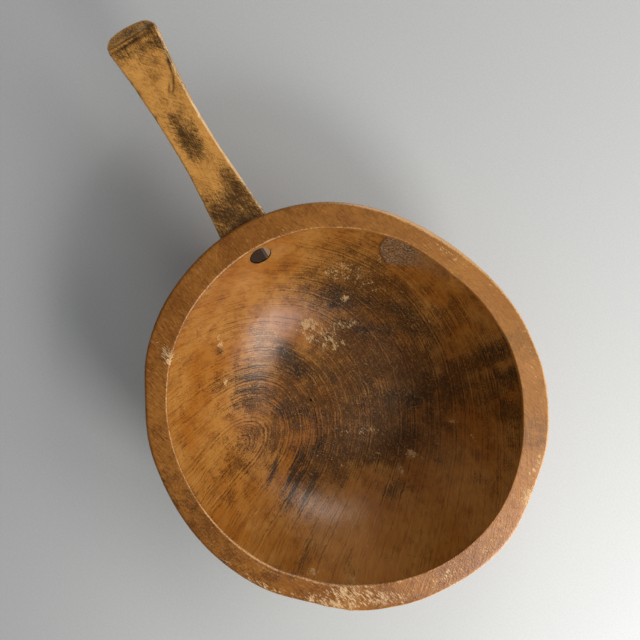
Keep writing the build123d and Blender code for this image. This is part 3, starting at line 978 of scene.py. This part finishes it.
def bowl_material():
    g = Nodes("oiled_bowl_wood")
    axis = frame_along(PITH_AXIS)
    away = g.vector("SUBTRACT", g.position, PITH)
    across = g.vector("LENGTH", g.vector("CROSS_PRODUCT", away, tuple(axis[0])))
    slow = g.noise(g.position, 34, 2, 0.4)
    ripple = g.noise(g.position, 7, 3, 0.55, shift=3)
    rings = g.lines(g.add(across, g.times(slow, 4.0), g.times(ripple, 2.4)), RING_SPACING)
    late = g.step(rings, 0.48, 0.68)
    fibre = g.fibres(axis, (16, 0.7, 0.7), 3, 0.6)
    streak = g.fibres(axis, (55, 4, 4), 3, 0.55, shift=5)
    cloud = g.noise(g.position, 42, 3, 0.5, shift=9)
    blotch = g.noise(g.position, 13, 4, 0.62, shift=8)
    speck = g.noise(g.position, 1.3, 2, 0.6, shift=2)

    g.colour = g.mix(g.step(cloud, 0.35, 0.68), HONEY, AMBER)
    g.layer(g.step(streak, 0.42, 0.72, 0, 0.5), RUSSET)
    faint = g.noise(g.position, 22, 2, 0.5, shift=11)
    g.layer(g.times(late, g.step(faint, 0.35, 0.65, 0.04, 0.4)), RUSSET)
    g.layer(g.step(blotch, 0.5, 0.7, 0, 0.45), RUSSET)
    g.layer(g.step(blotch, 0.46, 0.3, 0, 0.3), HONEY)
    g.layer(g.step(fibre, 0.5, 0.75, 0, 0.4), RUSSET)
    g.layer(g.step(fibre, 0.48, 0.22, 0, 0.2), BARE_WOOD)

    # rim: fine marks of the tool across it, slanting
    radius = g.vector("LENGTH", g.vector("MULTIPLY", g.position, (1, 1, 0)))
    turned = g.tree.nodes.new("ShaderNodeVectorRotate")
    turned.rotation_type = "Z_AXIS"
    g.put(turned.inputs["Vector"], g.vector("NORMALIZE", g.vector("MULTIPLY", g.position, (1, 1, 0))))
    g.put(turned.inputs["Angle"], g.times(radius, 0.006))
    lift = g.tree.nodes.new("ShaderNodeCombineXYZ")
    g.put(lift.inputs[2], g.times(radius, 0.05))
    tooling_at = g.vector("ADD", g.vector("SCALE", turned.outputs[0], scale=150.0), lift.outputs[0])
    tooling = g.noise(tooling_at, 0.9, 3, 0.65)
    rim = g.painted("rim")
    rim_colour = g.mix(g.step(cloud, 0.35, 0.7), RIM_TAN, RIM_BROWN)
    rim_colour = g.mix(g.step(blotch, 0.5, 0.7, 0, 0.65), rim_colour, RUSSET)
    g.layer(g.times(rim, 0.75), rim_colour)
    g.layer(g.times(rim, g.step(tooling, 0.5, 0.7, 0, 0.6)), RUSSET)
    g.layer(g.times(rim, g.step(tooling, 0.42, 0.28, 0, 0.3)), RIM_PALE)
    # short fibres cut off in the rim's top
    cut_fibre = g.fibres(frame_along((-0.94, -0.34, 0.1)), (6, 0.75, 0.75), 3, 0.6, shift=17)
    g.layer(g.times(rim, g.step(cut_fibre, 0.52, 0.68, 0, 0.75)), RIM_DARK)
    g.layer(g.times(rim, g.step(cut_fibre, 0.44, 0.3, 0, 0.45)), RIM_PALE)
    g.layer(g.times(g.painted("outside"), 0.45), RIM_BROWN)

    # smoke with painted shade, and stains, which sit in the softer wood between the rings
    patchy = g.step(g.noise(g.position, 8, 3, 0.6, shift=19), 0.38, 0.62, 0.35, 1.0)
    patchy = g.times(patchy, g.step(rim, 0, 1, 1, 0.15))
    grain = g.add(g.times(g.centred(rings, 1.6), patchy), g.centred(fibre, 1.2), g.centred(speck, 1.0))
    smoke_and_shade = g.painted("smoke_and_shade")
    smoked_and_shaded = g.add(g.times(smoke_and_shade, 1.25), g.centred(blotch, 1.6), g.times(grain, 1.25))
    g.layer(g.step(smoked_and_shaded, 0.12, 1.05, 0, 0.9), SMOKE_AND_SHADE_BROWN)
    stain = g.add(g.times(g.painted("stain"), 1.15), g.centred(blotch, 0.5), g.times(grain, 0.9))
    g.layer(g.step(stain, 0.3, 0.95, 0, 0.85), INK)
    # fine scratches where the smoke and painted shade lie, in two directions
    scratch = g.fibres(frame_along((-0.98, -0.17, 0.1)), (8, 0.8, 0.8), 3, 0.55, shift=12)
    across_it = g.fibres(frame_along((0.3, -0.95, 0.1)), (7, 0.8, 0.8), 3, 0.55, shift=15)
    scratched = g.math("MAXIMUM", g.step(scratch, 0.57, 0.68), g.step(across_it, 0.58, 0.7, 0, 0.8))
    scratched = g.times(scratched, g.step(smoke_and_shade, 0.1, 0.75, 0, 0.45))
    g.layer(scratched, SCRATCHED)
    fleck = g.fibres(frame_along((0.8, 0.6, 0.1)), (3.0, 0.75, 0.75), 3, 0.6, shift=21)
    fleck = g.add(fleck, g.centred(blotch, 0.25), g.times(smoke_and_shade, 0.06))
    g.layer(g.step(fleck, 0.68, 0.76, 0, 0.7), OCHRE)
    knot = g.painted("knot")
    knot_fibre = g.fibres(frame_along((0.3, -0.95, 0.1)), (9, 1.3, 1.3), 4, 0.65)
    knot_colour = g.mix(g.step(knot_fibre, 0.42, 0.6), KNOT_GREY, KNOT_PALE)
    g.layer(g.times(knot, g.step(blotch, 0.3, 0.7, 0.95, 0.6)), knot_colour)
    g.layer(g.times(g.painted("crack"), 0.8), INK)

    # bared wood: flecks inside, brushed along the rim
    bare = g.painted("bare")
    dashes = g.fibres(frame_along((1, 0.1, 0)), (3.2, 0.9, 1.2), 3, 0.65, shift=6)
    clumps = g.noise(g.position, 6.5, 5, 0.65, shift=14)
    flecked = g.add(bare, g.centred(clumps, 2.0), g.centred(dashes, 1.8), g.centred(speck, 0.8))
    flecked = g.add(flecked, g.times(rim, g.centred(cut_fibre, -2.2)))
    bare_mask = g.step(flecked, 0.76, 1.02, 0, 0.88)
    # bared wood along the rim's edges, with a painted highlight where they face the lamps
    edge = g.painted("edge")
    worn_and_lit_edge = g.step(g.add(edge, g.centred(speck, 1.4)), 0.3, 1.0, 0, 0.8)
    # pale wood, and painted light on the rim's side towards the lamps and opposite the handle
    pale_and_lit = g.times(g.painted("pale_and_lit"), 0.4)
    g.layer(pale_and_lit, RIM_PALE)
    g.layer(worn_and_lit_edge, EDGE_WORN_AND_LIT)
    g.layer(bare_mask, g.mix(rim, OCHRE, BARE_WOOD))

    rough = g.add(g.step(fibre, 0.3, 0.7, 0.25, 0.34), g.times(bare_mask, 0.2), g.times(rim, 0.06))
    relief = g.add(g.times(fibre, 0.5), g.times(late, 0.35), g.times(g.times(tooling, rim), 1.2),
                   g.times(bare_mask, -0.5), g.times(speck, 0.2))
    return g.surface(rough, relief, 0.55, 0.22, specular=0.4)


HANDLE_AXES = ((1, 0, 0), (0, 1, 0), (0, 0, 1))     # its grain runs along X
GOLDEN = (0.80, 0.375, 0.085)
TAN = (0.60, 0.25, 0.045)
GLOW = (0.95, 0.46, 0.11)
HANDLE_BROWN = (0.30, 0.125, 0.022)
GRIME_AND_SHADE_BROWN = (0.046, 0.019, 0.004)
END_GREY = (0.030, 0.017, 0.011)
BEVEL_WORN_AND_LIT = (1.0, 0.68, 0.34)
WEDGE_PALE = (0.095, 0.062, 0.038)
WEDGE_DARK = (0.045, 0.028, 0.018)


def handle_material():
    g = Nodes("golden_handle_wood")
    fibre = g.fibres(HANDLE_AXES, (26, 0.8, 0.8), 3, 0.6)
    streak = g.fibres(HANDLE_AXES, (60, 5, 5), 2, 0.5, shift=4)
    cloud = g.noise(g.position, 13, 5, 0.66, shift=7)
    speck = g.fibres(HANDLE_AXES, (1.9, 0.9, 0.9), 4, 0.7, shift=1)
    hatch = g.fibres(frame_along((0.75, 0.6, 0.1)), (9, 0.7, 0.7), 2, 0.6, shift=3)
    g.colour = g.mix(g.step(streak, 0.4, 0.7, 0, 0.4), GOLDEN, TAN)
    g.layer(g.step(fibre, 0.5, 0.72, 0, 0.55), TAN)
    g.layer(g.step(cloud, 0.46, 0.68, 0, 0.55), HANDLE_BROWN)
    g.layer(g.step(speck, 0.52, 0.7, 0, 0.45), HANDLE_BROWN)
    g.layer(g.step(hatch, 0.53, 0.7, 0, 0.55), HANDLE_BROWN)
    g.layer(g.step(hatch, 0.42, 0.3, 0, 0.4), GLOW)
    g.layer(g.step(cloud, 0.46, 0.34, 0, 0.5), GLOW)
    # pale bevel lines, with a painted highlight on the side towards the lamps
    edge = g.painted("edge")
    g.layer(g.times(edge, 0.9), BEVEL_WORN_AND_LIT)
    # grime, with painted shade at the root and along the +Y edge
    grime_and_shade = g.painted("grime_and_shade")
    broken = g.add(grime_and_shade, g.centred(speck, 1.2), g.centred(cloud, 0.7), g.centred(hatch, 1.0),
                   g.centred(fibre, 1.0))
    dirt_and_shade = g.step(broken, 0.12, 1.08, 0, 0.93)
    g.layer(dirt_and_shade, GRIME_AND_SHADE_BROWN)
    g.layer(g.times(g.painted("crack"), 0.85), GRIME_AND_SHADE_BROWN)
    end = g.painted("end")
    y = g.vector("DOT_PRODUCT", g.position, (0, 1, 0))
    z = g.vector("DOT_PRODUCT", g.position, (0, 0, 1))
    # rings in the end grain, about a point beside the tenon's middle
    beside = g.math("POWER", g.add(y, -2.0), 2)
    above = g.math("POWER", g.add(z, -TENON_HEIGHT - 2), 2)
    rings = g.math("SINE", g.times(g.math("SQRT", g.add(beside, above)), 5.2))
    end_colour = g.mix(g.step(rings, -0.2, 0.9, 0, 0.7), END_GREY, INK)
    end_colour = g.mix(g.step(speck, 0.5, 0.7, 0, 0.6), end_colour, KNOT_GREY)
    # the part beyond the wedge is paler
    end_colour = g.mix(g.step(y, -4.2, -5.2, 0, 0.75), end_colour, KNOT_PALE)
    g.layer(end, end_colour)
    rough = g.add(g.step(fibre, 0.3, 0.7, 0.42, 0.52), g.times(dirt_and_shade, 0.1))
    relief = g.add(g.times(fibre, 0.6), g.times(speck, 0.25), g.times(dirt_and_shade, -0.3))
    return g.surface(rough, relief, 0.5, 0.22, specular=0.25)


def wedge_material():
    g = Nodes("wedge_wood")
    fibre = g.fibres(HANDLE_AXES, (12, 0.4, 0.4), 3, 0.6)
    speck = g.noise(g.position, 0.8, 3, 0.6, shift=1)
    g.colour = g.mix(g.step(fibre, 0.35, 0.7), WEDGE_PALE, WEDGE_DARK)
    g.layer(g.step(speck, 0.52, 0.75, 0, 0.6), GRIME_AND_SHADE_BROWN)
    return g.surface(0.6, fibre, 0.5, 0.15)


for piece, node, slot, material in (
    (bowl, "bowl_body", "bowl_wood", bowl_material()),
    (handle, "handle", "handle_wood", handle_material()),
    (wedge, "tenon_wedge", "wedge_wood", wedge_material()),
):
    piece.data.materials.clear()
    piece.data.materials.append(material)
    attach(piece, "root")
    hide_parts(node)


# --- floor, lights and camera -----------------------------------------------------
FLOOR_GREY = (0.63, 0.64, 0.63)
FLOOR_WHITE = (0.68, 0.69, 0.68)


def floor_material():
    g = Nodes("pale_floor")
    grain = g.noise(g.position, 1.6, 3, 0.7)
    g.colour = g.mix(g.step(grain, 0.3, 0.7), FLOOR_GREY, FLOOR_WHITE)
    return g.surface(0.75, grain, 0.15, 0.1)


FLOOR_HALF = 4000.0
FLOOR_DROP = 0.2            # it lies just under the foot
CORNERS = ((-1, -1), (1, -1), (1, 1), (-1, 1))
floor_points = [(x * FLOOR_HALF, y * FLOOR_HALF, -FLOOR_DROP) for x, y in CORNERS]
floor = new_object("floor", new_mesh("floor", floor_points, [(0, 1, 2, 3)]))
floor.data.materials.append(floor_material())

LAMP_TARGET = Vector((0, 0, 0.06))      # in metres, like the lamps' distances and sizes
DAYLIGHT = (1.0, 0.99, 0.97)
WARM_LIGHT = (1.0, 0.98, 0.96)


def area_light(name, azimuth, elevation, distance, size, power, colour, glare=False):
    """Lamp aimed at the bowl that either lights the wood or only shows as a glare in it."""
    light = bpy.data.lights.new(name, "AREA")
    light.shape = "RECTANGLE"
    light.size, light.size_y = size
    light.energy = power
    light.color = colour
    lamp = new_object(name, light)
    azimuth, elevation = math.radians(azimuth), math.radians(elevation)
    direction = Vector((
        math.cos(elevation) * math.cos(azimuth),
        math.cos(elevation) * math.sin(azimuth),
        math.sin(elevation),
    ))
    lamp.location = direction * distance + LAMP_TARGET
    lamp.rotation_euler = direction.to_track_quat("Z", "Y").to_euler()
    lamp.visible_glossy = glare
    lamp.visible_diffuse = not glare


area_light("window", 190, 34, 0.95, (0.30, 0.26), 5.2, DAYLIGHT)
area_light("softbox", 236, 32, 1.1, (0.9, 0.6), 7.1, DAYLIGHT)
area_light("fill", 324, 40, 1.2, (0.40, 0.34), 1.5, WARM_LIGHT)
area_light("sheen", 195, 33, 0.95, (0.36, 1.05), 11.0, DAYLIGHT, glare=True)
area_light("glint", 308, 21, 1.2, (0.55, 0.5), 4.8, WARM_LIGHT, glare=True)

world = bpy.data.worlds.new("studio")
world.use_nodes = True
background = world.node_tree.nodes["Background"]
background.inputs["Color"].default_value = (0.93, 0.96, 1.0, 1)
background.inputs["Strength"].default_value = 0.20
world.cycles_visibility.glossy = False     # above the bowl the photo's room is dark
bpy.context.scene.world = world

# The camera looks straight down on the object, turned so that the handle points up and left.
VIEW_WIDTH = 480.0          # what the picture takes in at the height of the rim
CAMERA_ABOVE_RIM = 420.0
CAMERA_CENTRE = (67.7, -14.8)
CAMERA_TURN = -120.0
lens = bpy.data.cameras.new("camera")
lens.sensor_width = 36.0
lens.lens = 36.0 * CAMERA_ABOVE_RIM / VIEW_WIDTH
lens.clip_start = 0.01
lens.clip_end = 20.0
camera = new_object("camera", lens)
camera.location = Vector((*CAMERA_CENTRE, HEIGHT + CAMERA_ABOVE_RIM)) * MM
camera.rotation_euler = (0, 0, math.radians(CAMERA_TURN))
bpy.context.scene.camera = camera
bpy.context.scene.view_settings.view_transform = "Standard"
